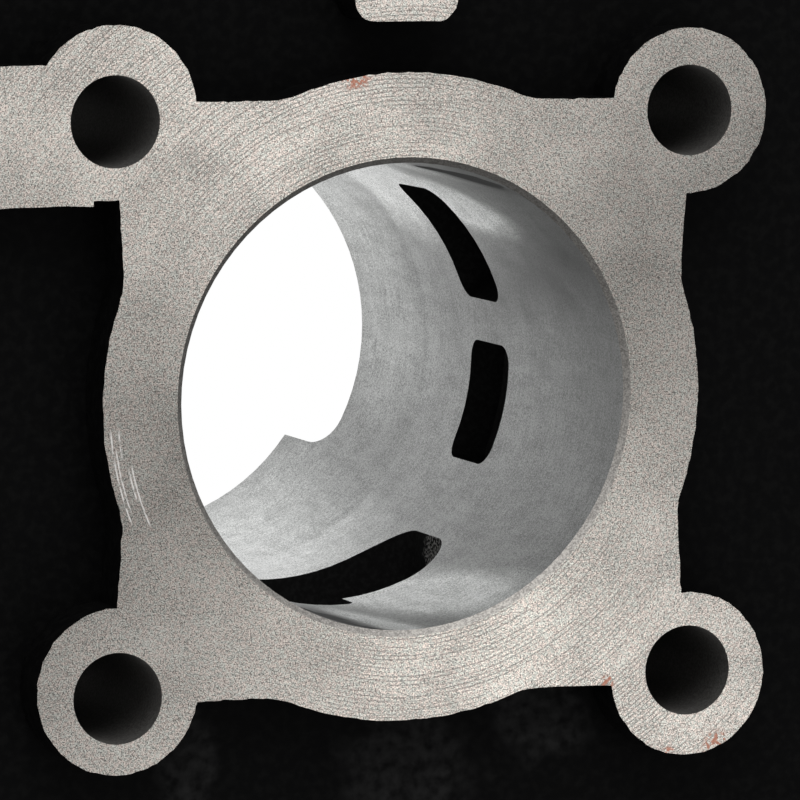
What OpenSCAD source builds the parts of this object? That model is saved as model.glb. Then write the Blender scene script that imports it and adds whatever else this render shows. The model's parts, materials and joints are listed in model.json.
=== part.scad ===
// Air-cooled engine cylinder for a small two-stroke: one iron casting.
// The bore runs along Z and the head joint face (the deck) looks up. The origin is on the bore's
// axis in the crankcase joint face, the exhaust leaves toward -Y, and depths are below the deck.

/* [Bore and deck] */
// Diameter of the honed bore
bore_d = 40; // [38.5:0.5:41]
// Height from the crankcase joint face to the deck
body_h = 58; // [56:0.5:64]
// Chamfer at the mouth of the bore
mouth_chamfer = 0.5; // [0.2:0.1:1]
// Wall between the bore and the bulge of the deck on the left and right
bulge_wall_x = 6.9; // [6:0.1:8]
// Wall between the bore and the bulge of the deck at the exhaust and opposite it
bulge_wall_y = 7.7; // [6.5:0.1:8.5]
// Wall between the bore and the straight sides of the deck on the left and right
side_wall_x = 5.15; // [4.5:0.05:6]
// Wall between the bore and its straight sides at the exhaust and opposite it
side_wall_y = 5.35; // [4.5:0.05:6]
// How much further out the left and right sides lie where they reach the bosses
side_flare = 0.4; // [0.1:0.05:0.8]
// Radius of the hollow blend between a side and a bulge
blend_r = 8; // [4:0.5:10]
// How far the cast sides and bulges sit off the bore's axis, to the left
deck_shift = 0.15; // [0:0.05:0.5]
// How far they are turned from the square of the stud holes, clockwise from above, in degrees
deck_lean = 0.6; // [0:0.1:1.5]

/* [Stud bosses] */
// Distance between the stud holes along X
stud_span_x = 51.7; // [50.5:0.1:54]
// Distance between the stud holes along Y
stud_span_y = 48.6; // [47.5:0.1:51]
// How far the pattern of the stud holes sits off the bore's axis, toward the exhaust
stud_shift = 0.3; // [0:0.1:0.8]
// Diameter of the stud holes
stud_hole_d = 7.8; // [6.6:0.1:8.4]
// Wall of a boss round its hole
boss_wall = 3.2; // [2.6:0.1:4.5]
// How far the cast boss that carries the left lug sits off its hole, away from the exhaust
lug_boss_shift = 1.0; // [0:0.1:1.5]
// How far the cast boss on the left beside the exhaust sits off its hole, the same way
low_boss_shift = 0.6; // [0:0.1:1.5]
// How far the cast boss on the right beside the exhaust sits off its hole, toward the exhaust
right_boss_shift = 0.3; // [0:0.1:1]

/* [Deck lugs] */
// Width of the lug that runs from the left boss to the edge of the fins
side_lug_w = 11.8; // [8:0.2:14]
// Distance from the bore's axis to the middle of that lug
side_lug_y = 22.9; // [21:0.1:25]
// Height of the small step where the lower edge of that lug meets the boss
side_lug_step = 0.4; // [0.1:0.1:1]
// Width of the separate lug opposite the exhaust
rear_lug_w = 9.2; // [6:0.2:14]
// Radius of the inner corners of that lug
rear_lug_r = 1.8; // [0.5:0.1:2.8]
// Open gap on the deck between the bulge and the separate lug
rear_lug_gap = 4.3; // [3:0.1:7]
// Number of fins that the lugs tie together, counted from the deck
lug_fins = 2; // [1:1:3]

/* [Fins] */
// Number of cooling fins
fin_count = 7; // [5:1:8]
// Thickness of a fin
fin_t = 2.2; // [1.8:0.1:2.8]
// Height of the deck above the first fin
deck_rise = 5; // [4:0.25:7]
// Length of the fins along X
fin_x = 94; // [86:1:104]
// Length of the fins along Y
fin_y = 88; // [84:1:94]
// Radius of the corners of the fins
fin_corner_r = 14; // [6:1:20]

/* [Crankcase joint] */
// Thickness of the flange on the crankcase joint
base_t = 8; // [6:0.5:10]
// Length of that flange along X
base_x = 70; // [68:0.5:78]
// Length of that flange along Y
base_y = 67; // [65:0.5:76]
// Radius of the corners of that flange
base_corner_r = 9; // [4:0.5:10]
// Length of the skirt below the crankcase joint face
skirt_len = 22; // [16:0.5:28]
// Wall of the skirt
skirt_wall = 2.8; // [2.2:0.1:2.9]
// Chamfer round the outside of the skirt's end
skirt_chamfer = 1; // [0.4:0.1:1.5]
// Height of the cut-away on each side of the skirt
skirt_cut_h = 12; // [6:0.5:14]
// Where the cut-away starts, as an angle round the bore below the X axis
skirt_cut_front = 35.5; // [25:0.5:45]
// Where the cut-away ends, as an angle round the bore above the X axis
skirt_cut_rear = 59; // [45:0.5:65]
// Width of the rounding in the upper corners of the cut-away
skirt_corner_w = 3; // [1:0.1:4]
// Height of that rounding
skirt_corner_h = 5; // [2:0.1:6]

/* [Transfer ports] */
// Depth of the roof of the transfer ports
port_roof = 28.4; // [26:0.1:31]
// Height of the transfer ports
port_h = 9.7; // [7:0.1:12]
// Radius of the corners of the transfer ports
port_corner_r = 1.8; // [0.5:0.1:3]
// Width of the transfer ports next to the exhaust
front_port_w = 10.9; // [8:0.1:12]
// Angle of their middle, counted round the bore from the X axis
front_port_angle = -12.25; // [-15:0.25:-11]
// Width of the transfer ports further from the exhaust
rear_port_w = 12.5; // [9:0.1:13.5]
// Angle of their middle, counted the same way
rear_port_angle = 33.25; // [32:0.25:36]
// Width of the port opposite the exhaust
boost_port_w = 14; // [8:0.1:17]
// Wall between the bore and the transfer passages
passage_wall = 3.2; // [3:0.1:3.5]
// Thickness of the transfer passages, measured outward from that wall
passage_t = 5.2; // [4:0.1:5.6]
// Wall round the outside of the transfer passages
jacket_wall = 3.2; // [2.5:0.1:4]

/* [Exhaust] */
// Depth of the roof of the exhaust port
exhaust_roof = 21.6; // [20:0.1:24]
// Height of the exhaust port
exhaust_h = 15.6; // [13:0.1:17]
// Width of the exhaust port
exhaust_w = 25.2; // [20:0.1:27]
// Radius of the corners of the exhaust port
exhaust_corner_r = 5; // [2:0.1:6]
// Height of the raised stretch of the roof
roof_step_h = 3.4; // [1:0.1:4.5]
// Width of the raised stretch
roof_step_w = 7.4; // [4:0.1:10]
// Distance of the middle of the raised stretch from the middle of the port, to the left
roof_step_x = 2; // [0:0.1:3.5]
// Radius of the corners of the raised stretch
roof_step_r = 0.8; // [0.3:0.1:1.2]
// Diameter of the exhaust duct at its outlet
outlet_d = 25; // [22:0.5:27]
// Wall of the stub round the duct
stub_wall = 4; // [3:0.25:6]
// Distance from the bore's axis to the exhaust joint face
exhaust_reach = 50; // [48:0.5:58]
// Diameter of the seat for the gasket ring
ring_seat_d = 28; // [27.5:0.5:31]
// Depth of that seat
ring_seat_t = 3; // [1.5:0.5:4]
// Thickness of the exhaust flange
flange_t = 8; // [6:0.5:12]
// Distance between the tapped holes of the exhaust flange
flange_span = 44; // [41:0.5:52]
// How far the flange stands out past the stub and past the bosses of its ears
flange_rim = 1; // [0.5:0.1:2]
// Diameter of the tapped holes
flange_hole_d = 5; // [4.2:0.1:6.8]
// Wall of the flange's ears round the tapped holes
ear_wall = 5; // [3.5:0.25:7]
// Depth of the tapped holes
flange_hole_depth = 14; // [10:0.5:17]
// Metal beyond the end of a tapped hole
ear_end = 2.5; // [1.5:0.25:4]

/* [Hidden] */
$fn = 96;
// Overshoot of the cuts past the faces that they open through
over = 1;
// Small offset that keeps blends and cuts from only touching each other
step = 0.02;
// Sides of each quarter turn in the outlines that are worked out by a formula
arc_steps = 8;

bore_r = bore_d / 2;
boss_r = stud_hole_d / 2 + boss_wall;
bulge_x = bore_r + bulge_wall_x;
bulge_y = bore_r + bulge_wall_y;
side_x = bore_r + side_wall_x;
side_y = bore_r + side_wall_y;
skirt_r = bore_r + skirt_wall;

fin_zone = body_h - base_t - deck_rise;
fin_pitch = fin_zone / fin_count;
// Underside of the last fin that the lugs tie
lug_z = body_h - deck_rise - (lug_fins - 1) * fin_pitch - fin_t;

port_z = body_h - port_roof - port_h;
passage_in = bore_r + passage_wall;
passage_out = passage_in + passage_t;
jacket_r = passage_out + jacket_wall;
jacket_top = body_h - port_roof + jacket_wall;

exhaust_z = body_h - exhaust_roof - exhaust_h / 2;
stub_r = outlet_d / 2 + stub_wall;
ear_r = flange_hole_d / 2 + ear_wall;
flange_back = exhaust_reach - flange_t;

// Each boss: its side along X, its side along Y, and the shift of the casting off the hole
bosses = [
    [-1, 1, lug_boss_shift],
    [1, 1, 0],
    [-1, -1, low_boss_shift],
    [1, -1, -right_boss_shift],
];

// Half the angle that a straight-sided port of this width takes of the bore
function half_angle(width) = asin(width / 2 / bore_r);

// Points along an ellipse about the centre c, from one angle to another
function arc(c, rx, ry, from, to) = [
    for (i = [0 : arc_steps])
        let (a = from + (to - from) * i / arc_steps)
            [c[0] + rx * cos(a), c[1] + ry * sin(a)]
];

// A rectangle with round corners about the origin, exact in its arcs
module rounded(w, h, r) {
    square([w, h - 2 * r], center = true);
    square([w - 2 * r, h], center = true);
    for (x = [-1, 1], y = [-1, 1])
        translate([x * (w / 2 - r), y * (h / 2 - r)]) circle(r);
}

// Two round ears beside a round middle, joined by their common tangents
module lozenge(r_mid, r_ear, span) {
    lean = asin((r_mid - r_ear) / (span / 2));
    polygon(concat(
        arc([span / 2, 0], r_ear, r_ear, lean - 90, 90 - lean),
        arc([0, 0], r_mid, r_mid, 90 - lean, 90 + lean),
        arc([-span / 2, 0], r_ear, r_ear, 90 + lean, 270 - lean),
        arc([0, 0], r_mid, r_mid, 270 - lean, 270 + lean)
    ));
}

// Places its children at the holes, or with shifted set on the cast bosses
module at_studs(shifted = false) {
    for (b = bosses)
        translate([
            b[0] * stud_span_x / 2,
            b[1] * stud_span_y / 2 - stud_shift + (shifted ? b[2] : 0),
            0
        ])
            children();
}

// How far from the middle of a side the hollow blend into its bulge reaches
function blend_end(bulge, side) = sqrt((bulge + blend_r) ^ 2 - (side + blend_r) ^ 2);

// The two bulges on opposite sides, drawn along Y, each with its hollow blends
module bulges(bulge, side) {
    x = blend_end(bulge, side);
    share = bulge / (bulge + blend_r);
    intersection() {
        circle(bulge);
        square([2 * x, 2 * bulge + over], center = true);
    }
    for (a = [0, 1], b = [0, 1])
        mirror([a, 0]) mirror([0, b]) difference() {
            polygon([
                [x * share - over, side - over],
                [x, side - over],
                [x, side + blend_r],
                [x * share, (side + blend_r) * share],
            ]);
            translate([x - step, side + blend_r - step]) circle(blend_r);
        }
}

// The straight sides, which flare toward the bosses, and the bulges between them
module sides() {
    flare_from = blend_end(bulge_x, side_x);
    flare_to = stud_span_y / 2 - boss_r;
    square([2 * side_x, 2 * side_y], center = true);
    for (a = [0, 1], b = [0, 1])
        mirror([a, 0]) mirror([0, b])
            polygon([
                [side_x - over, flare_from],
                [side_x, flare_from],
                [side_x + side_flare, flare_to],
                [side_x + side_flare, flare_to + boss_r / 2],
                [side_x - over, flare_to + boss_r / 2],
            ]);
    bulges(bulge_y, side_y);
    rotate(90) bulges(bulge_x, side_x);
}

// Outline of the deck, which the walls of the casting carry on down
module deck_outline() {
    translate([-deck_shift, 0]) rotate(-deck_lean) sides();
    at_studs(shifted = true) circle(boss_r);
}

module core() {
    linear_extrude(body_h) deck_outline();
    cylinder(h = jacket_top, r = jacket_r);
}

module fins() {
    for (i = [0 : fin_count - 1])
        translate([0, 0, body_h - deck_rise - fin_t - i * fin_pitch])
            linear_extrude(fin_t) rounded(fin_x, fin_y, fin_corner_r);
}

// The lugs reach the edge of the fins and are faced together with the deck
module lugs() {
    rear_y = bulge_y + rear_lug_gap;
    translate([0, 0, lug_z]) linear_extrude(body_h - lug_z) {
        translate([-fin_x / 2, side_lug_y - side_lug_w / 2])
            square([(fin_x - stud_span_x - stud_hole_d / 2) / 2, side_lug_w]);
        translate([-fin_x / 2, side_lug_y - side_lug_w / 2 + side_lug_step])
            square([fin_x / 2 - side_x + over, side_lug_w - side_lug_step]);
        translate([-rear_lug_w / 2, rear_y + rear_lug_r])
            square([rear_lug_w, fin_y / 2 - rear_y - rear_lug_r]);
        translate([0, rear_y + 2 * rear_lug_r])
            rounded(rear_lug_w, 4 * rear_lug_r, rear_lug_r);
    }
}

module base_flange() {
    linear_extrude(base_t) rounded(base_x, base_y, base_corner_r);
}

module skirt() {
    rotate_extrude()
        polygon([
            [0, -skirt_len],
            [skirt_r - skirt_chamfer, -skirt_len],
            [skirt_r, skirt_chamfer - skirt_len],
            [skirt_r, base_t / 2],
            [0, base_t / 2],
        ]);
}

// Turns its children, drawn in X and Z, to face the exhaust at this distance from the axis
module toward_exhaust(reach) {
    translate([0, -reach, exhaust_z]) rotate([90, 0, 0]) children();
}

module exhaust_stub() {
    toward_exhaust(0) cylinder(h = exhaust_reach - flange_t / 2, r = stub_r);
    toward_exhaust(flange_back)
        linear_extrude(flange_t) lozenge(stub_r + flange_rim, ear_r, flange_span);
    for (x = [-1, 1])
        toward_exhaust(exhaust_reach - flange_hole_depth - ear_end)
            translate([x * flange_span / 2, 0, 0])
                cylinder(h = flange_hole_depth + ear_end - flange_t / 2, r = ear_r - flange_rim);
}

module bore() {
    translate([0, 0, -skirt_len - over])
        cylinder(h = skirt_len + body_h + 2 * over, r = bore_r);
    translate([0, 0, body_h - mouth_chamfer])
        cylinder(h = 2 * mouth_chamfer, r1 = bore_r, r2 = bore_r + 2 * mouth_chamfer);
}

module stud_holes() {
    translate([0, 0, -over]) at_studs() cylinder(h = body_h + 2 * over, d = stud_hole_d);
}

// A port through the bore's wall, with a passage behind it that opens in the joint face
module transfer(angle, width) {
    spread = half_angle(width);
    bend = passage_t - passage_wall / 2;
    rotate([0, 0, angle]) {
        translate([bore_r - passage_wall, 0, port_z + port_h / 2])
            rotate([90, 0, 90])
                linear_extrude(2 * passage_wall + over) rounded(width, port_h, port_corner_r);
        rotate([0, 0, -spread])
            rotate_extrude(angle = 2 * spread)
                polygon(concat(
                    [[passage_in, -over], [passage_out, -over]],
                    arc([passage_out - bend, port_z + port_h - bend], bend, bend, 0, 90),
                    [[passage_in, port_z + port_h]]
                ));
    }
}

module transfers() {
    for (side = [0, 1]) mirror([side, 0, 0]) {
        transfer(front_port_angle, front_port_w);
        transfer(rear_port_angle, rear_port_w);
    }
    transfer(90, boost_port_w);
}

module exhaust_window() {
    rounded(exhaust_w, exhaust_h, exhaust_corner_r);
    translate([-roof_step_x, (exhaust_h + roof_step_h - exhaust_corner_r) / 2])
        rounded(roof_step_w, roof_step_h + exhaust_corner_r, roof_step_r);
}

module exhaust_duct() {
    duct_start = passage_in;
    toward_exhaust(bore_r / 2) linear_extrude(duct_start + over - bore_r / 2) exhaust_window();
    hull() {
        toward_exhaust(duct_start)
            linear_extrude(over) rounded(exhaust_w, exhaust_h, exhaust_corner_r, $fn = 32);
        toward_exhaust(flange_back) cylinder(h = over, d = outlet_d, $fn = 48);
    }
    toward_exhaust(flange_back) cylinder(h = flange_t + over, d = outlet_d);
    toward_exhaust(exhaust_reach - ring_seat_t) cylinder(h = ring_seat_t + over, d = ring_seat_d);
}

module flange_holes() {
    for (x = [-1, 1])
        toward_exhaust(exhaust_reach - flange_hole_depth)
            translate([x * flange_span / 2, 0, 0])
                cylinder(h = flange_hole_depth + over, d = flange_hole_d);
}

// One end of a cut-away: its upright edge faces the bore's axis and its upper corner is round
module skirt_cut_end(angle, away) {
    top = skirt_cut_h - skirt_len - step;
    w = skirt_corner_w;
    h = skirt_corner_h;
    rotate([0, 0, angle]) mirror([0, away]) rotate([90, 0, 90])
        translate([0, 0, bore_r / 2])
            linear_extrude(skirt_r + over - bore_r / 2)
                polygon(concat(
                    [[w + over, top], [w + over, -skirt_len - over], [0, -skirt_len - over]],
                    arc([w, top - h], w, h, 180, 90)
                ));
}

// The cut-away on each side of the skirt, with its middle stretch turned about the bore's axis
module skirt_cuts() {
    corner = 2 * half_angle(skirt_corner_w);
    for (side = [0, 1]) mirror([side, 0, 0]) {
        skirt_cut_end(-skirt_cut_front, 0);
        skirt_cut_end(skirt_cut_rear, 1);
        rotate([0, 0, corner - skirt_cut_front])
            rotate_extrude(angle = skirt_cut_front + skirt_cut_rear - 2 * corner)
                translate([bore_r / 2, -skirt_len - over])
                    square([skirt_r + over - bore_r / 2, skirt_cut_h + over]);
    }
}

module cylinder_casting() {
    color("#85857f") difference() {
        union() {
            core();
            fins();
            lugs();
            base_flange();
            skirt();
            exhaust_stub();
        }
        bore();
        stud_holes();
        transfers();
        exhaust_duct();
        flange_holes();
        skirt_cuts();
    }
}

cylinder_casting();  // cylinder
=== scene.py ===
"""Looks of a small engine's cylinder: one iron casting, faced, bored and drilled, with black skin.

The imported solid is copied, its rims are rounded and its faces are sorted by how they were made.
Each kind of face then gets its own finish. Sizes are in millimetres until they meet the mesh.
"""
import json
import logging
import math
from collections.abc import Callable
from dataclasses import dataclass
from enum import Enum

import bmesh
import bpy
from mathutils import Matrix, Vector, noise


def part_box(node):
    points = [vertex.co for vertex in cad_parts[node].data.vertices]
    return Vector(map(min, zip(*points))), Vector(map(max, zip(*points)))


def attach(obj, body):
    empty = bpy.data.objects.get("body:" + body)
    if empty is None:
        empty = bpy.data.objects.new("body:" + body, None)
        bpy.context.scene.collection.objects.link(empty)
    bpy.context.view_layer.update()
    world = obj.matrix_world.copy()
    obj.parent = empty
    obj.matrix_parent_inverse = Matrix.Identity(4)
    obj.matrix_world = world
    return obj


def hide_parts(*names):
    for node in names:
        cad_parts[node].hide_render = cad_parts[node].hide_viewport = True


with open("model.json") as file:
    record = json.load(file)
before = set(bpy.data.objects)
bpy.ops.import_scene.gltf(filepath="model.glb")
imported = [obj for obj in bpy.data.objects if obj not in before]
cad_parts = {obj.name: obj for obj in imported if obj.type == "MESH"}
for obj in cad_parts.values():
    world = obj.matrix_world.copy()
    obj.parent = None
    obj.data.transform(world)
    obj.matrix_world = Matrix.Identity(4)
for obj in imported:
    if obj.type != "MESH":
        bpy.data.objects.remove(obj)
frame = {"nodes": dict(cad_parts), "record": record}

MM = 0.001
BODY = "root"
NODE = "cylinder"
Colour = tuple[float, float, float]

log = logging.getLogger("engine_cylinder")


class Value:
    """A shader socket that takes part in Python arithmetic."""

    def __init__(self, shader: "Shader", socket: bpy.types.NodeSocket) -> None:
        """Wraps an output socket of one of the shader's nodes."""
        self.shader = shader
        self.socket = socket

    def math(self, operation: str, *others: "Value | float", swap: bool = False) -> "Value":
        """Adds one Math node.

        Args:
            operation: the Math node's operation.
            others: what it takes after this value.
            swap: puts this value after the first of the others.

        Returns:
            The node's result.
        """
        values = [others[0], self] if swap else [self, *others]
        node = self.shader.add(
            "ShaderNodeMath", {"operation": operation}, dict(enumerate(values))
        )
        return Value(self.shader, node.outputs[0])

    def __add__(self, other: "Value | float") -> "Value":
        """This plus the other."""
        return self.math("ADD", other)

    __radd__ = __add__

    def __sub__(self, other: "Value | float") -> "Value":
        """This less the other."""
        return self.math("SUBTRACT", other)

    def __rsub__(self, other: float) -> "Value":
        """The other less this."""
        return self.math("SUBTRACT", other, swap=True)

    def __mul__(self, other: "Value | float") -> "Value":
        """This times the other."""
        return self.math("MULTIPLY", other)

    __rmul__ = __mul__

    def __truediv__(self, other: "Value | float") -> "Value":
        """This over the other."""
        return self.math("DIVIDE", other)

    def __pow__(self, other: "Value | float") -> "Value":
        """This to the power of the other."""
        return self.math("POWER", other)

    def most(self, other: "Value | float") -> "Value":
        """The larger of this and the other."""
        return self.math("MAXIMUM", other)

    def least(self, other: "Value | float") -> "Value":
        """The smaller of this and the other."""
        return self.math("MINIMUM", other)

    def ramp(self, low: float, high: float) -> "Value":
        """Rises smoothly from 0 to 1 while this goes from low to high, or falls if low is larger."""
        start, end, ends = (low, high, (0.0, 1.0)) if low < high else (high, low, (1.0, 0.0))
        node = self.shader.add(
            "ShaderNodeMapRange",
            {"interpolation_type": "SMOOTHSTEP"},
            {"Value": self, "From Min": start, "From Max": end, "To Min": ends[0], "To Max": ends[1]},
        )
        return Value(self.shader, node.outputs["Result"])


class Shader:
    """One node tree, with the object's own millimetres as its coordinates."""

    def __init__(self, name: str, tree: bpy.types.NodeTree | None = None) -> None:
        """Starts an empty material, or empties the tree that is given.

        Args:
            name: the material's name.
            tree: a tree that isn't a material's, which then needs no coordinates.
        """
        self.material = None
        if tree is None:
            self.material = bpy.data.materials.new(name)
            self.material.use_nodes = True
        self.tree = tree or self.material.node_tree
        self.nodes = self.tree.nodes
        self.links = self.tree.links
        self.nodes.clear()
        if tree is None:
            self._locate()

    def _locate(self) -> None:
        """Adds the object's coordinates, whole and apart."""
        place = self.add("ShaderNodeTexCoord").outputs["Object"]
        scaled = self.add(
            "ShaderNodeVectorMath", {"operation": "SCALE"}, {0: place, "Scale": 1 / MM}
        )
        self.place = scaled.outputs[0]
        split = self.add("ShaderNodeSeparateXYZ", {}, {0: self.place})
        self.x, self.y, self.z = (Value(self, socket) for socket in split.outputs)

    def add(self, kind: str, settings: dict | None = None, inputs: dict | None = None) -> bpy.types.Node:
        """Adds any node.

        Args:
            kind: the node's type.
            settings: its properties, set before its sockets.
            inputs: values, sockets or Values for its inputs, by name or number.

        Returns:
            The new node.
        """
        node = self.nodes.new(kind)
        for key, setting in (settings or {}).items():
            setattr(node, key, setting)
        for key, given in (inputs or {}).items():
            source = given.socket if isinstance(given, Value) else given
            if isinstance(source, bpy.types.NodeSocket):
                self.links.new(source, node.inputs[key])
            else:
                node.inputs[key].default_value = source
        return node

    def point(
        self, x: "Value | float", y: "Value | float", z: "Value | float"
    ) -> bpy.types.NodeSocket:
        """A vector made of three values."""
        return self.add("ShaderNodeCombineXYZ", {}, {0: x, 1: y, 2: z}).outputs[0]

    def noise(self, scale: float, detail: float = 2.0, at: bpy.types.NodeSocket | None = None,
              warp: float = 0.0) -> Value:
        """Noise about 0.5.

        Args:
            scale: its grains per millimetre.
            detail: how many finer layers it has.
            at: where it is read, or the object's own place.
            warp: how far it is distorted.

        Returns:
            The noise.
        """
        node = self.add(
            "ShaderNodeTexNoise",
            {"noise_dimensions": "3D"},
            {"Vector": at or self.place, "Scale": scale, "Detail": detail, "Distortion": warp},
        )
        return Value(self, node.outputs[0])

    def mix(self, factor: "Value | float", first: Colour | bpy.types.NodeSocket,
            second: Colour | bpy.types.NodeSocket, blend: str = "MIX") -> bpy.types.NodeSocket:
        """Goes from the first colour to the second by the factor."""
        node = self.add("ShaderNodeMix", {"data_type": "RGBA", "blend_type": blend}, {0: factor})
        for key, colour in ((6, first), (7, second)):
            if isinstance(colour, bpy.types.NodeSocket):
                self.links.new(colour, node.inputs[key])
            else:
                node.inputs[key].default_value = (*colour, 1.0)
        return node.outputs[2]

    def bump(self, height: Value, depth_mm: float) -> bpy.types.NodeSocket:
        """Makes relief from a height of 0 to 1, whose 1 is this many millimetres."""
        inputs = {"Height": height, "Distance": depth_mm * MM, "Strength": 1.0}
        return self.add("ShaderNodeBump", {}, inputs).outputs["Normal"]

    def dim(self, colour: Colour | bpy.types.NodeSocket, level: Value) -> bpy.types.NodeSocket:
        """Multiplies a colour by a level."""
        return self.mix(1.0, colour, self.point(level, level, level), "MULTIPLY")

    def surface(self, inputs: dict) -> None:
        """Ends the tree in a Principled surface with these inputs."""
        shader = self.add("ShaderNodeBsdfPrincipled", {}, inputs)
        self.add("ShaderNodeOutputMaterial", {}, {"Surface": shader.outputs[0]})


class Axis(Enum):
    """The axis that a face was turned or faced about."""

    Z = "z"
    Y = "y"


@dataclass(frozen=True)
class Mark:
    """A round patch on a surface, by its middle and its reach."""

    x: float
    y: float
    z: float
    reach: float

    def away(self, s: Shader) -> Value:
        """The distance from the patch's middle."""
        return ((s.x - self.x) ** 2.0 + (s.y - self.y) ** 2.0 + (s.z - self.z) ** 2.0) ** 0.5


@dataclass(frozen=True)
class Score:
    """A bright score along a ring of the deck, by its radius and its two ends in degrees."""

    radius: float
    start: float
    end: float


@dataclass(frozen=True)
class FacedIron:
    """Iron faced on a lathe: fine rings about the axis, speckled grain, dark pores and stains.

    The rings are a wave of ring_pitch millimetres. Dashes lie along them, dash_rows to the
    millimetre across and dash_turns to the radian. The ring, dash and pore shares say how far
    each goes to the pore's colour, and mark_share how far scores and flecks cover.
    The painted sheen is highlight and shade painted into the colour: it makes the rings lighter
    where they run across the studio's light and darker where they run along it, and the ring
    lines are drawn darker there too. Its angle says where round the axis they are lightest, in
    degrees, and painted_sheen_side is how much lighter that side is than the middle.
    A turned surface is a round outside, whose rings lie one above the other along Z.
    """

    name: str
    axis: Axis
    centre_z: float = 0.0
    turned: bool = False
    colour: Colour = (0.71, 0.681, 0.645)
    shade: Colour = (0.235, 0.224, 0.210)
    warm: Colour = (1.05, 0.985, 0.96)
    cool: Colour = (0.96, 1.0, 0.985)
    pore: Colour = (0.034, 0.031, 0.029)
    roughness: float = 0.70
    ring_pitch: float = 0.36
    ring_depth: float = 0.005
    ring_share: float = 0.50
    dash_rows: float = 9.5
    dash_turns: float = 62.0
    dash_depth: float = 0.020
    dash_share: float = 0.55
    pore_share: float = 0.65
    painted_sheen: float = 0.0
    painted_sheen_side: float = 0.0
    painted_sheen_angle: float = 0.0
    scores: tuple[Score, ...] = ()
    score_width: float = 0.10
    score_colour: Colour = (0.70, 0.685, 0.67)
    flecks: tuple[Mark, ...] = ()
    fleck_colour: Colour = (0.45, 0.17, 0.10)
    mark_share: float = 0.8

    def material(self) -> bpy.types.Material:
        """Builds the finish."""
        s = Shader(self.name)
        across = (s.x, s.y) if self.axis is Axis.Z else (s.x, s.z - self.centre_z)
        radius = (across[0] ** 2.0 + across[1] ** 2.0) ** 0.5
        turn = across[1].math("ARCTAN2", across[0])
        drift = s.noise(0.25, 2.0)
        along = s.z if self.turned else radius
        feed = (along / self.ring_pitch + drift * 0.7) * math.tau
        feed = feed.math("SINE") * 0.5 + 0.5
        dashes = s.noise(1.0, 1.0, s.point(along * self.dash_rows, turn * self.dash_turns, 7.0))
        breaks = s.noise(0.9, 3.0, s.point(along * 2.2, turn * 4.0, 4.0)).ramp(0.38, 0.54)
        fine = s.noise(9.0, 2.0)
        grain = s.noise(3.4, 3.0)
        patch = s.noise(0.16, 4.0)
        tint = s.noise(4.2, 3.0)
        pores = s.noise(6.6, 1.0).ramp(0.60, 0.67)
        # lit peaks where the rings run across the studio's light; it sets the painted shade of the ring
        # lines and the painted sheen
        wave = turn - math.radians(self.painted_sheen_angle)
        lit = (wave * 2.0).math("COSINE")
        valley = feed.ramp(0.42, 0.08) * breaks * dashes.ramp(0.80, 0.42) * lit.ramp(-0.3, 0.9)
        tone = fine + grain * 0.25 + patch * 0.2
        colour = s.mix(tone.ramp(0.51, 0.92), self.shade, self.colour)
        colour = s.mix(1.0, colour, s.mix(tint.ramp(0.38, 0.62), self.cool, self.warm), "MULTIPLY")
        dark = (dashes + fine * 0.3).ramp(0.58, 0.42) * self.dash_share
        dark = dark.most(pores * self.pore_share).most(valley * self.ring_share)
        colour = s.mix(dark, colour, self.pore)
        height = feed * (self.ring_depth / self.dash_depth) + dashes + fine * 0.25 - pores * 0.3
        # Painted sheen: the colour is lighter where the rings run across the studio's light and darker
        # where they run along it
        if self.painted_sheen:
            colour = s.dim(colour, lit * self.painted_sheen + wave.math("COSINE") * self.painted_sheen_side + 1.0)
        lines = self._lines(s, radius, turn)
        if lines is not None:
            colour = s.mix(lines * self.mark_share, colour, self.score_colour)
        for fleck in self.flecks:
            spot = fleck.away(s).ramp(fleck.reach, fleck.reach * 0.5)
            spot = spot * s.noise(2.4, 3.0).ramp(0.47, 0.57)
            colour = s.mix(spot * self.mark_share, colour, self.fleck_colour)
        s.surface({
            "Base Color": colour,
            "Metallic": 1.0 - pores * 0.5,
            "Roughness": grain * 0.16 + (self.roughness - 0.08) + pores * 0.2,
            "Normal": s.bump(height, self.dash_depth),
        })
        return s.material

    def _lines(self, s: Shader, radius: Value, turn: Value) -> Value | None:
        """Draws the scores, broken up along their length.

        Args:
            s: the finish's shader.
            radius: the distance from the axis.
            turn: the angle about the axis.

        Returns:
            1 in a score, or None if there are none.
        """
        lines = None
        angle = turn * math.degrees(1.0)
        for score in self.scores:
            across = (radius - score.radius).math("ABSOLUTE")
            line = across.ramp(self.score_width, self.score_width * 0.3)
            line = line * angle.ramp(score.start - 0.5, score.start + 1.5)
            line = line * angle.ramp(score.end + 0.5, score.end - 1.5)
            lines = line if lines is None else lines.most(line)
        if lines is None:
            return None
        return lines * s.noise(1.0, 2.0, s.point(radius * 6.0, turn * 30.0, 5.0)).ramp(0.36, 0.50)


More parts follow.
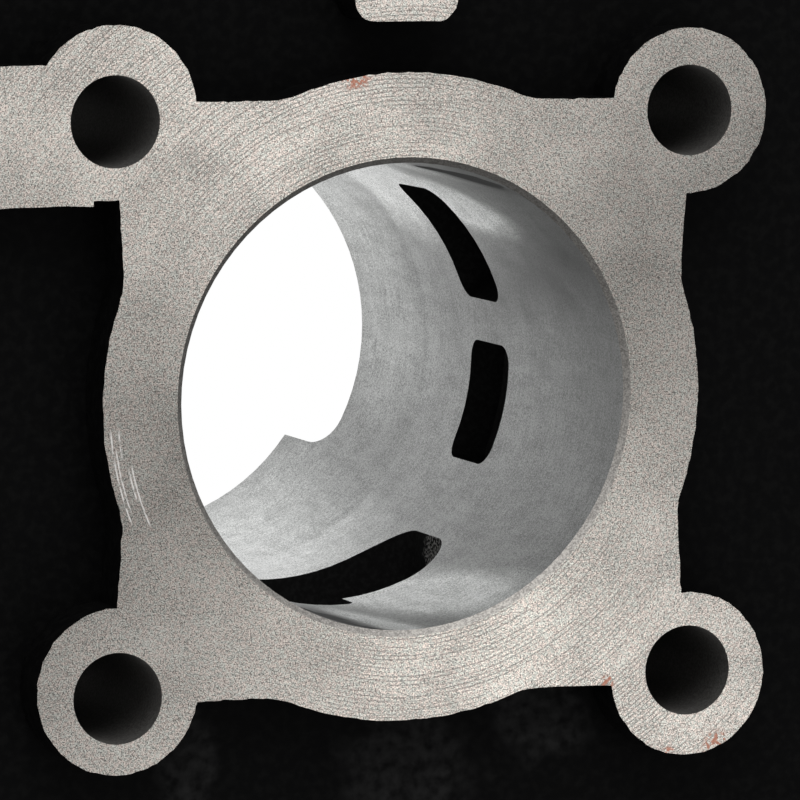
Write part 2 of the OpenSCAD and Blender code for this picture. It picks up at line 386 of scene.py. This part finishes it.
@dataclass(frozen=True)
class MouthIron:
    """The chamfer at the bore's mouth: rough and grainy, and lighter on one side by painted light.

    Its lightest and darkest are levels of its colour, and the light angle is in degrees.
    """

    name: str
    colour: Colour = (0.30, 0.29, 0.275)
    shade: Colour = (0.15, 0.143, 0.135)
    roughness: float = 0.80
    light_angle: float = -66.0
    lightest: float = 2.2
    darkest: float = 0.47

    def material(self) -> bpy.types.Material:
        """Builds the finish."""
        s = Shader(self.name)
        turn = s.y.math("ARCTAN2", s.x)
        # Painted light and shade: the colour is lightest toward light_angle and darkest on the far side,
        # as the studio's light falls on the chamfer
        side = (turn - math.radians(self.light_angle)).math("COSINE") * 0.5 + 0.5
        level = side ** 2.0 * (self.lightest - self.darkest) + self.darkest
        fine = s.noise(7.0, 3.0)
        grain = s.noise(2.8, 3.0)
        colour = s.mix((fine * 0.6 + grain * 0.4).ramp(0.36, 0.64), self.shade, self.colour)
        s.surface({
            "Base Color": s.dim(colour, level),
            "Metallic": 1.0,
            "Roughness": grain * 0.2 + (self.roughness - 0.1),
            "Normal": s.bump(fine * 0.6 + grain * 0.8, 0.05),
        })
        return s.material


@dataclass(frozen=True)
class PaintedPatch:
    """A soft patch on the bore's wall, painted light where it is lighter than the wall round it and
    painted shade where it is darker.

    Its place is an angle round the bore from +X and a depth below the deck, in degrees and
    millimetres. Its gain is what it adds to the level of the wall's colour, its lean says how
    many degrees it moves per millimetre of depth, and its soft share fades out at its edge.
    """

    angle: float
    depth: float
    reach_angle: float
    reach_depth: float
    gain: float
    lean: float = 0.0
    soft: float = 0.9


@dataclass(frozen=True)
class HonedIron:
    """The bore's wall: cool grey, honed in two slanting directions, with painted shade toward its mouth.

    The level multiplies the colour, and the patches of painted light and shade add to it. The
    mouth's painted shade is how far it falls toward the mouth, on the right and at the rear, and
    where the patches bring it below the matt threshold the wall turns from metal to matt, dark
    painted shade.
    The wall is rougher past travel_end, in millimetres below the deck, where no ring rubs.
    """

    name: str
    radius: float
    mouth_z: float
    painted_patches: tuple[PaintedPatch, ...]
    travel_end: float = 49.5
    colour: Colour = (0.57, 0.577, 0.57)
    shade: Colour = (0.20, 0.204, 0.20)
    speck: Colour = (0.10, 0.10, 0.10)
    roughness: float = 0.42
    hone_angle: float = 14.0
    hone_depth: float = 0.016
    level: float = 0.77
    painted_mouth_shade: float = 0.37
    painted_shade_level: float = 0.25
    painted_shade_rough: float = 0.45

    def material(self) -> bpy.types.Material:
        """Builds the finish."""
        s = Shader(self.name)
        turn = s.y.math("ARCTAN2", s.x)
        angle = turn * math.degrees(1.0)
        depth = self.mouth_z - s.z
        round_mm = turn * self.radius
        slope = math.radians(self.hone_angle)
        strokes = []
        for way in (-1.0, 1.0):
            across = s.z * math.cos(slope) + round_mm * (way * math.sin(slope))
            along = round_mm * math.cos(slope) - s.z * (way * math.sin(slope))
            strokes.append(s.noise(1.0, 3.0, s.point(across * 3.2, along * 0.16, way * 9.0)))
        hatch = strokes[0] * 0.6 + strokes[1] * 0.4
        fine = s.noise(7.0, 2.0)
        cloud = s.noise(0.16, 3.0, warp=0.6)
        stain = s.noise(1.0, 4.0, s.point(round_mm * 0.7, s.z * 0.22, 2.0), warp=0.4)
        specks = s.noise(4.4, 2.0).ramp(0.64, 0.71)
        fibres = hatch * 0.4 + fine + cloud * 0.15 + stain * 0.25
        # Painted shade: the wall is darkened toward the mouth on the right and at the rear, as the
        # studio's light falls
        level = self.level - angle.ramp(-60.0, 40.0) * depth.ramp(30.0, 0.0) * self.painted_mouth_shade
        waver = (cloud - 0.5) * 0.5
        # Patches of painted light and shade: the wall's brightness is painted into its colour
        for painted_patch in self.painted_patches:
            level = level + self._lobe(angle, depth, waver, painted_patch) * painted_patch.gain
        colour = s.mix(fibres.ramp(0.68, 1.12), self.shade, self.colour)
        colour = s.mix(specks * 0.7, colour, self.speck)
        unworn = depth.ramp(self.travel_end - 0.6, self.travel_end + 0.6)
        # The darkest painted shade turns matt and stops being metal
        painted_shade_matt = level.ramp(self.painted_shade_level, self.painted_shade_level - 0.3)
        rough = fine * 0.12 + hatch * 0.1 + (self.roughness - 0.11)
        s.surface({
            "Base Color": s.dim(colour, level.most(0.08).least(2.0)),
            "Metallic": 1.0 - painted_shade_matt,
            "Roughness": rough + unworn * 0.06 + painted_shade_matt * self.painted_shade_rough,
            "Normal": s.bump(hatch * 0.8 + fine * 0.8, self.hone_depth),
        })
        return s.material

    @staticmethod
    def _lobe(angle: Value, depth: Value, waver: Value, painted_patch: PaintedPatch) -> Value:
        """1 in the middle of a patch of painted light or shade, falling to 0 at its edge."""
        down = depth - painted_patch.depth
        aside = (angle - painted_patch.angle - down * painted_patch.lean) / painted_patch.reach_angle
        away = (aside ** 2.0 + (down / painted_patch.reach_depth) ** 2.0) ** 0.5
        return (away + waver).ramp(1.0, 1.0 - painted_patch.soft)


@dataclass(frozen=True)
class DrilledIron:
    """The walls of the drilled and tapped holes: dark, with the drill's faint rings."""

    name: str
    colour: Colour = (0.22, 0.214, 0.205)
    shade: Colour = (0.13, 0.126, 0.12)
    roughness: float = 0.6

    def material(self) -> bpy.types.Material:
        """Builds the finish."""
        s = Shader(self.name)
        rings = s.noise(3.0, 3.0, s.point(s.x * 0.15, s.y * 0.15, s.z))
        grain = s.noise(5.0, 2.0)
        s.surface({
            "Base Color": s.mix(grain.ramp(0.35, 0.65), self.shade, self.colour),
            "Metallic": 1.0,
            "Roughness": rings * 0.2 + (self.roughness - 0.1),
            "Normal": s.bump(rings * 0.7 + grain * 0.3, 0.02),
        })
        return s.material


@dataclass(frozen=True)
class CastSkin:
    """The rough skin that the mould left, painted or bare, with lighter spots of painted light in
    places.

    The lit spots' size is that of their grains, and their soft share is how gently they fade out.
    """

    name: str
    colour: Colour
    light: Colour
    roughness: float
    specular: float
    grain_mm: float
    relief_mm: float
    painted_lit_spots: tuple[Mark, ...] = ()
    painted_lit_colour: Colour = (0.013, 0.013, 0.013)
    painted_lit_grain_mm: float = 1.1
    painted_lit_soft: float = 0.28

    def material(self) -> bpy.types.Material:
        """Builds the finish."""
        s = Shader(self.name)
        sand = s.noise(1 / self.grain_mm, 4.0)
        lumps = s.noise(0.22 / self.grain_mm, 2.0)
        colour = s.mix(sand.ramp(0.40, 0.70), self.colour, self.light)
        # Painted light: grainy spots where the colour is lighter, as where the studio's light catches
        # the surface
        if self.painted_lit_spots:
            edge = (lumps - 0.5) * 1.2
            grains = s.noise(1 / self.painted_lit_grain_mm, 5.0)
            grains = grains.ramp(0.52 - self.painted_lit_soft, 0.52 + self.painted_lit_soft)
            for mark in self.painted_lit_spots:
                spot = (mark.away(s) / mark.reach + edge).ramp(1.0, 0.6)
                colour = s.mix(spot * grains, colour, self.painted_lit_colour)
        s.surface({
            "Base Color": colour,
            "Metallic": 0.0,
            "Specular IOR Level": self.specular,
            "Roughness": sand * 0.2 + (self.roughness - 0.1),
            "Normal": s.bump(sand * 0.6 + lumps * 0.8, self.relief_mm),
        })
        return s.material


class Region(Enum):
    """How a face of the casting was made, in the order of the material slots."""

    SKIN = 0
    DECK = 1
    FOOT = 2
    EXHAUST_FACE = 3
    MOUTH = 4
    BORE = 5
    HOLE = 6
    DUCT = 7
    SKIRT = 8


@dataclass
class Casting:
    """The whole cylinder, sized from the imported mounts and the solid's own box.

    The fields with a default say how its edges are found and rounded and its faces sorted.
    Flat, crease and sharp are angles in degrees, level and upright are the Z of a face's normal,
    and the others, the seed apart, are lengths. A face or edge of the bore's mouth lies within
    chamfer or mouth_ring of the bore's wall, and a fin's rim boss_reach or more outside the
    studs. The passages lie within passage_reach of the bore's wall and passage_cover or more
    below the deck. Behind the exhaust face come the ring seat, within seat_depth, and the
    screw holes, within screw_depth.
    """

    bore_r: float
    deck_z: float
    stud_x: float
    stud_y: float
    stud_mid: float
    stud_r: float
    exhaust_y: float
    exhaust_z: float
    seat_r: float
    flange_hole_x: float
    flange_hole_r: float
    low: Vector
    high: Vector
    deck_rise: float = 5.0
    weld: float = 0.002
    flat: float = 0.3
    near: float = 0.12
    rim_round: float = 0.55
    machined_edge: float = 0.06
    uneven: float = 0.16
    uneven_step: float = 0.45
    uneven_seed: int = 7
    crease: float = 34.0
    sharp: float = 60.0
    level: float = 0.99
    upright: float = 0.3
    chamfer: float = 0.7
    mouth_ring: float = 2.0
    hole_margin: float = 0.15
    boss_reach: float = 8.9
    passage_reach: float = 8.6
    passage_cover: float = 15.0
    seat_depth: float = 3.6
    screw_depth: float = 20.0

    @classmethod
    def from_frame(cls) -> "Casting":
        """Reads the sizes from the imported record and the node's box."""
        mounts = {mount["name"]: mount for mount in frame["record"]["mounts"]}
        low, high = (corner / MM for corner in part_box(NODE))
        studs = mounts["stud_holes"]["dims"]
        screws = mounts["exhaust_holes"]["dims"]
        face = mounts["exhaust_face"]["pos_m"]
        return cls(
            bore_r=mounts["bore"]["dims"]["r_mm"],
            deck_z=mounts["deck"]["pos_m"][2] / MM,
            stud_x=studs["spacing_x_mm"] / 2,
            stud_y=studs["spacing_y_mm"] / 2,
            stud_mid=mounts["stud_holes"]["pos_m"][1] / MM,
            stud_r=studs["hole_r_mm"],
            exhaust_y=face[1] / MM,
            exhaust_z=face[2] / MM,
            seat_r=mounts["exhaust_ring_seat"]["dims"]["r_mm"],
            flange_hole_x=screws["spacing_x_mm"] / 2,
            flange_hole_r=screws["hole_r_mm"],
            low=low,
            high=high,
        )

    def build(self) -> bpy.types.Object:
        """Makes the casting, with rounded rims and its faces sorted by how they were made.

        Returns:
            The new object, which stands for the node.
        """
        solid = frame["nodes"][NODE]
        mesh = bpy.data.meshes.new("casting")
        bm = bmesh.new()
        bm.from_mesh(solid.data)
        bmesh.ops.remove_doubles(bm, verts=bm.verts, dist=self.weld * MM)
        bmesh.ops.dissolve_limit(
            bm, angle_limit=math.radians(self.flat), verts=bm.verts, edges=bm.edges
        )
        self._round(bm, self._is_rim, self.rim_round, 3)
        self._round(bm, self._is_machined_edge, self.machined_edge, 2)
        # The rounding pushes a few points past the exhaust face, and they go back into it
        for point in bm.verts:
            point.co.y = max(point.co.y, self.low.y * MM)
        self._roughen(bm)
        bm.normal_update()
        for face in bm.faces:
            face.smooth = True
            face.material_index = self.region(face).value
        for edge in bm.edges:
            if len(edge.link_faces) == 2:
                edge.smooth = edge.calc_face_angle() < math.radians(self.crease)
        bm.to_mesh(mesh)
        bm.free()
        piece = bpy.data.objects.new("engine_cylinder", mesh)
        bpy.context.scene.collection.objects.link(piece)
        even = piece.modifiers.new("even_shading", "WEIGHTED_NORMAL")
        even.keep_sharp = True
        return piece

    def _round(self, bm: bmesh.types.BMesh, chosen: Callable[[bmesh.types.BMEdge], bool],
               width_mm: float, segments: int) -> None:
        """Rounds the sharp edges that a test chooses.

        Args:
            bm: the casting's mesh.
            chosen: a test of an edge.
            width_mm: how far the rounding reaches on each side.
            segments: its steps.
        """
        edges = [e for e in bm.edges if len(e.link_faces) == 2 and chosen(e)]
        bmesh.ops.bevel(
            bm, geom=edges, offset=width_mm * MM, offset_type="OFFSET", segments=segments,
            profile=0.5, affect="EDGES", clamp_overlap=False, material=-1,
        )

    def _roughen(self, bm: bmesh.types.BMesh) -> None:
        """Makes the deck's cast outline slightly uneven, as the face mill leaves it.

        Args:
            bm: the casting's mesh.
        """
        outline = [edge for edge in bm.edges if self._is_deck_outline(edge)]
        for edge in outline:
            steps = int(edge.calc_length() / (self.uneven_step * MM))
            if steps > 1:
                bmesh.ops.subdivide_edges(bm, edges=[edge], cuts=steps - 1)
        points = {v for edge in bm.edges if self._is_deck_outline(edge) for v in edge.verts}
        limit = self.high.x - self.near
        noise.seed_set(self.uneven_seed)
        for point in points:
            at = point.co / MM
            if abs(at.x) > limit or at.y > self.high.y - self.near:
                continue
            shift = noise.noise_vector(at * 0.9) * 0.5 + noise.noise_vector(at * 2.3) * 0.5
            point.co += Vector((shift.x, shift.y, 0.0)) * self.uneven * MM

    def _is_deck_outline(self, edge: bmesh.types.BMEdge) -> bool:
        """Is this an edge of the deck's cast outline, not of a bored or drilled hole?"""
        if len(edge.link_faces) != 2:
            return False
        middle = self._middle(edge)
        if abs(middle.z - self.deck_z) > 0.02 or self._by_mouth(middle):
            return False
        flat = sorted(abs(face.normal.z) for face in edge.link_faces)
        if flat[1] <= self.level or flat[0] >= self.upright:
            return False
        return not self._in_stud_hole(middle, 0.6)

    @staticmethod
    def _middle(edge: bmesh.types.BMEdge) -> Vector:
        """The middle of an edge, in millimetres."""
        return (edge.verts[0].co + edge.verts[1].co) / (2 * MM)

    def _by_mouth(self, at: Vector) -> bool:
        """Is this place inside the bore or in the narrow ring round its mouth?"""
        return math.hypot(at.x, at.y) < self.bore_r + self.mouth_ring

    def _in_stud_hole(self, at: Vector, margin: float) -> bool:
        """Is this place in a stud hole, or no further than the margin from one?"""
        away = math.hypot(abs(at.x) - self.stud_x, abs(at.y - self.stud_mid) - self.stud_y)
        return away < self.stud_r + margin

    def _is_rim(self, edge: bmesh.types.BMEdge) -> bool:
        """Is this an edge along the outline of a fin or of the crankcase flange?"""
        if edge.calc_face_angle() < math.radians(self.sharp):
            return False
        side, flat = sorted(edge.link_faces, key=lambda face: abs(face.normal.z))
        if abs(flat.normal.z) < self.level or abs(side.normal.z) > 0.05:
            return False
        middle = self._middle(edge)
        if middle.z > self.deck_z - self.near or middle.z < self.near:
            return False
        outward = side.normal.x * middle.x + side.normal.y * middle.y
        past_x = abs(middle.x) > self.stud_x + self.boss_reach
        past_y = abs(middle.y) > self.stud_y + self.boss_reach
        return outward > 0 and (past_x or past_y)

    def _is_machined_edge(self, edge: bmesh.types.BMEdge) -> bool:
        """Is this an edge of a joint face, or of a hole in the deck?"""
        if edge.calc_face_angle() < math.radians(self.sharp):
            return False
        middle = self._middle(edge)
        in_hole = self._in_stud_hole(middle, 0.1) or self._by_mouth(middle)
        on_deck = abs(middle.z - self.deck_z) < self.near and in_hole
        on_foot = abs(middle.z) < self.near
        on_flange = abs(middle.y - self.exhaust_y) < self.near
        return on_deck or on_foot or on_flange

    def region(self, face: bmesh.types.BMFace) -> Region:
        """Says how a face was made, from where it lies and which way it looks."""
        at = face.calc_center_median() / MM
        looks = face.normal
        radius = math.hypot(at.x, at.y)
        if at.z > self.deck_z - self.chamfer and looks.z > self.upright:
            slanting = looks.z < 0.97 and radius < self.bore_r + self.chamfer
            return Region.MOUTH if slanting else Region.DECK
        if radius < self.bore_r + 0.2 and abs(looks.z) < self.upright:
            return Region.BORE
        if at.z < -self.near:
            return Region.SKIRT
        if at.z < self.near and looks.z < -0.5:
            return Region.FOOT
        if self._in_stud_hole(at, self.hole_margin):
            return Region.HOLE
        up = at.z - self.exhaust_z
        deep = at.y - self.exhaust_y
        screw = math.hypot(abs(at.x) - self.flange_hole_x, up)
        if deep < self.screw_depth and screw < self.flange_hole_r + self.hole_margin:
            return Region.HOLE
        in_seat = math.hypot(at.x, up) < self.seat_r + self.hole_margin
        if deep < self.seat_depth and (looks.y < -0.5 or in_seat):
            return Region.EXHAUST_FACE
        if radius < self.bore_r + self.passage_reach and 0 < at.z < self.deck_z - self.passage_cover:
            return Region.DUCT
        if at.y < -self.bore_r and math.hypot(at.x, up) < self.seat_r - 0.5:
            return Region.DUCT
        return Region.SKIN

    def dress(self, piece: bpy.types.Object) -> None:
        """Gives every region its finish, in the order of the slots."""
        fin_top = self.deck_z - self.deck_rise
        finishes = {
            Region.SKIN: CastSkin(
                "black_paint", (0.0018, 0.0018, 0.0019), (0.0032, 0.0032, 0.0032), 0.50, 0.024,
                # Painted light: lighter grainy patches on the fin tops where the light catches them
                0.9, 0.05, painted_lit_spots=(
                    Mark(2.0, -33.0, fin_top, 7.0), Mark(14.0, -28.5, fin_top, 5.0),
                    Mark(-18.0, -31.0, fin_top, 4.0),
                ),
            ),
            Region.DECK: FacedIron(
                # The deck's painted sheen: highlight and shade painted into its colour round the axis
                "faced_deck", Axis.Z, painted_sheen=0.37, painted_sheen_side=0.06, painted_sheen_angle=-71.0,
                scores=(
                    Score(26.45, -176.0, -158.0), Score(26.15, -172.5, -160.0),
                    Score(25.75, -176.0, -170.0), Score(25.35, -168.0, -161.5),
                    Score(25.05, -169.0, -156.0),
                ),
                flecks=(
                    Mark(28.6, -31.3, self.deck_z, 1.6), Mark(24.2, -31.9, self.deck_z, 0.9),
                    Mark(18.4, -25.3, self.deck_z, 0.8), Mark(-4.6, 27.7, self.deck_z, 1.8),
                ),
            ),
            Region.FOOT: FacedIron("faced_foot", Axis.Z),
            Region.EXHAUST_FACE: FacedIron("faced_exhaust", Axis.Y, centre_z=self.exhaust_z),
            # The mouth's colour carries painted light and shade
            Region.MOUTH: MouthIron("stained_mouth"),
            Region.BORE: HonedIron(
                "honed_bore", self.bore_r, self.deck_z,
                # Patches of painted light and shade on the bore's wall
                painted_patches=(
                    PaintedPatch(-93.6, 44.8, 57.0, 62.7, 1.56, lean=0.59, soft=1.0),
                    PaintedPatch(-69.4, 12.8, 17.8, 20.4, 2.06, lean=-0.44, soft=0.96),
                    PaintedPatch(-91.6, 5.5, 7.3, 14.6, 2.56, lean=-0.43, soft=1.0),
                    PaintedPatch(-103.8, 8.6, 22.4, 21.9, -1.20, lean=0.16, soft=1.0),
                    PaintedPatch(47.3, 25.7, 12.6, 14.3, 2.08, lean=0.42, soft=0.70),
                    PaintedPatch(58.8, 40.7, 32.9, 14.8, 1.78, lean=-0.22, soft=0.77),
                    PaintedPatch(50.0, 64.0, 45.8, 24.4, 0.91, lean=-0.05, soft=0.97),
                    PaintedPatch(64.9, 11.7, 5.8, 14.4, -0.50, lean=0.43, soft=0.84),
                    PaintedPatch(24.5, 19.6, 23.0, 38.4, -0.33, lean=-0.55, soft=1.0),
                    PaintedPatch(0.5, 60.1, 35.2, 18.0, 0.35, lean=0.15, soft=0.75),
                    PaintedPatch(65.7, 25.2, 4.7, 19.7, 0.60, lean=0.33, soft=0.88),
                    PaintedPatch(66.5, 13.0, 1.6, 10.0, -0.90, soft=0.6),
                    PaintedPatch(64.6, 6.2, 2.6, 4.5, -1.70, lean=0.55, soft=0.6),
                    PaintedPatch(-102.0, 3.0, 3.2, 5.5, -1.70, lean=-1.9, soft=0.6),
                    PaintedPatch(-105.8, 9.5, 2.0, 6.0, -0.80, lean=0.1, soft=0.7),
                ),
            ),
            Region.HOLE: DrilledIron("drilled_holes"),
            # The ducts' near-black colour is painted shade, darker than bare iron, and their one light
            # spot is a painted glint on the exhaust window's side wall
            Region.DUCT: CastSkin(
                "raw_ducts", (0.009, 0.009, 0.009), (0.016, 0.016, 0.016), 0.85, 0.03, 0.45, 0.12,
                painted_lit_spots=(Mark(13.7, -17.0, self.exhaust_z + 2.0, 3.4),), painted_lit_colour=(0.34, 0.333, 0.323),
                painted_lit_grain_mm=0.28, painted_lit_soft=0.06,
            ),
            Region.SKIRT: FacedIron("turned_skirt", Axis.Z, turned=True),
        }
        for part in Region:
            piece.data.materials.append(finishes[part].material())


@dataclass(frozen=True)
class Softbox:
    """A square lamp, by where it stands from the deck's middle, in metres."""

    name: str
    place: Vector
    side: float
    power: float

    def build(self, target: Vector) -> None:
        """Adds the lamp and turns it to the target."""
        lamp = bpy.data.lights.new(self.name, "AREA")
        lamp.shape = "SQUARE"
        lamp.size = self.side
        lamp.energy = self.power
        holder = bpy.data.objects.new(self.name, lamp)
        bpy.context.scene.collection.objects.link(holder)
        holder.location = target + self.place
        holder.rotation_euler = (-self.place).to_track_quat("-Z", "Y").to_euler()


@dataclass
class Studio:
    """The pale floor, the lamps, the world and the camera.

    The floor has a round white spot under the bore, which reaches spot_past millimetres beyond
    it. Glossy and transmitted rays find all of it. The camera sees only the part within
    view_past of the mouth's circle, carried down along the view. Both edges fade over spot_fade.
    Floor_r is in metres, and world_level is how strongly the world lights matt surfaces.
    """

    deck_z: float
    floor_z: float
    bore_r: float
    floor_r: float = 1.4
    spot_past: float = 6.6
    view_past: float = 4.0
    spot_fade: float = 4.0
    floor_colour: Colour = (0.74, 0.735, 0.725)
    world_level: float = 0.75
    aim: Vector = Vector((-0.62, -0.17, 0.0))
    forward: Vector = Vector((0.33684, -0.09937, -0.93630))
    distance: float = 578.7
    focal_px: float = 6804.3
    frame_px: float = 800.0
    film_mm: float = 36.0

    def build(self) -> None:
        """Makes everything that isn't the object."""
        target = Vector((0.0, 0.0, self.deck_z * MM))
        for box in (
            Softbox("key", Vector((-0.16, 0.92, 0.60)), 0.8, 9.5),
            Softbox("fill", Vector((0.40, -1.10, 0.50)), 0.9, 5.0),
        ):
            box.build(target)
        self._floor()
        self._world()
        self._camera(target)

    def _floor(self) -> None:
        """A round pale floor that shows as white to the camera through the bore."""
        bm = bmesh.new()
        bmesh.ops.create_circle(bm, cap_ends=True, segments=96, radius=self.floor_r)
        bmesh.ops.translate(bm, verts=bm.verts, vec=(0.0, 0.0, self.floor_z * MM))
        mesh = bpy.data.meshes.new("floor")
        bm.to_mesh(mesh)
        bm.free()
        floor = bpy.data.objects.new("floor", mesh)
        bpy.context.scene.collection.objects.link(floor)
        s = Shader("pale_floor")
        camera, mirrored = self._rays(s)
        far = self.bore_r + self.spot_past
        spot = ((s.x ** 2.0 + s.y ** 2.0) ** 0.5).ramp(far + self.spot_fade, far - 0.5)
        fall = (self.deck_z - self.floor_z) / -self.forward.z
        aside = (s.x - self.forward.x * fall) ** 2.0 + (s.y - self.forward.y * fall) ** 2.0
        near = self.bore_r + self.view_past
        through = (aside ** 0.5).ramp(near + self.spot_fade, near)
        seen = spot * (camera * through).most(mirrored)
        paper = s.add("ShaderNodeBsdfDiffuse", {}, {"Color": (*self.floor_colour, 1.0)})
        white = s.add("ShaderNodeEmission", {}, {"Strength": 1.0})
        blend = s.add(
            "ShaderNodeMixShader", {}, {0: seen, 1: paper.outputs[0], 2: white.outputs[0]}
        )
        s.add("ShaderNodeOutputMaterial", {}, {"Surface": blend.outputs[0]})
        mesh.materials.append(s.material)

    @staticmethod
    def _rays(s: Shader) -> tuple[Value, Value]:
        """1 for the camera's rays, and 1 for rays that come off or through a glossy surface."""
        rays = s.add("ShaderNodeLightPath").outputs
        mirrored = Value(s, rays["Is Glossy Ray"]).most(Value(s, rays["Is Transmission Ray"]))
        return Value(s, rays["Is Camera Ray"]), mirrored

    def _world(self) -> None:
        """An even world, white to the camera and in metal, and dimmer as a light."""
        world = bpy.data.worlds.new("studio")
        world.use_nodes = True
        s = Shader(world.name, world.node_tree)
        camera, mirrored = self._rays(s)
        level = camera.most(mirrored) * (1.0 - self.world_level) + self.world_level
        sky = s.add("ShaderNodeBackground", {}, {"Strength": level})
        s.add("ShaderNodeOutputWorld", {}, {"Surface": sky.outputs[0]})
        bpy.context.scene.world = world

    def _camera(self, target: Vector) -> None:
        """The photograph's camera: a long lens that looks down past the bore's axis from the left."""
        data = bpy.data.cameras.new("camera")
        data.sensor_width = self.film_mm
        data.lens = self.focal_px / self.frame_px * self.film_mm
        data.clip_start = 0.05
        camera = bpy.data.objects.new("camera", data)
        bpy.context.scene.collection.objects.link(camera)
        right = self.forward.cross(Vector((0.0, 1.0, 0.0))).normalized()
        turn = Matrix((right, right.cross(self.forward), -self.forward)).transposed()
        place = target + (self.aim - self.forward * self.distance) * MM
        camera.matrix_world = Matrix.Translation(place) @ turn.to_4x4()
        bpy.context.scene.camera = camera


def main() -> None:
    """Builds the studio and the casting."""
    logging.basicConfig(level=logging.INFO, format="%(message)s")
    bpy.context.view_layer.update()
    casting = Casting.from_frame()
    Studio(casting.deck_z, casting.low.z, casting.bore_r).build()
    piece = casting.build()
    casting.dress(piece)
    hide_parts(NODE)
    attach(piece, BODY)
    log.info("%s: %d faces", piece.name, len(piece.data.polygons))
    bpy.context.scene.view_settings.view_transform = "Standard"


if __name__ == "__main__":
    main()
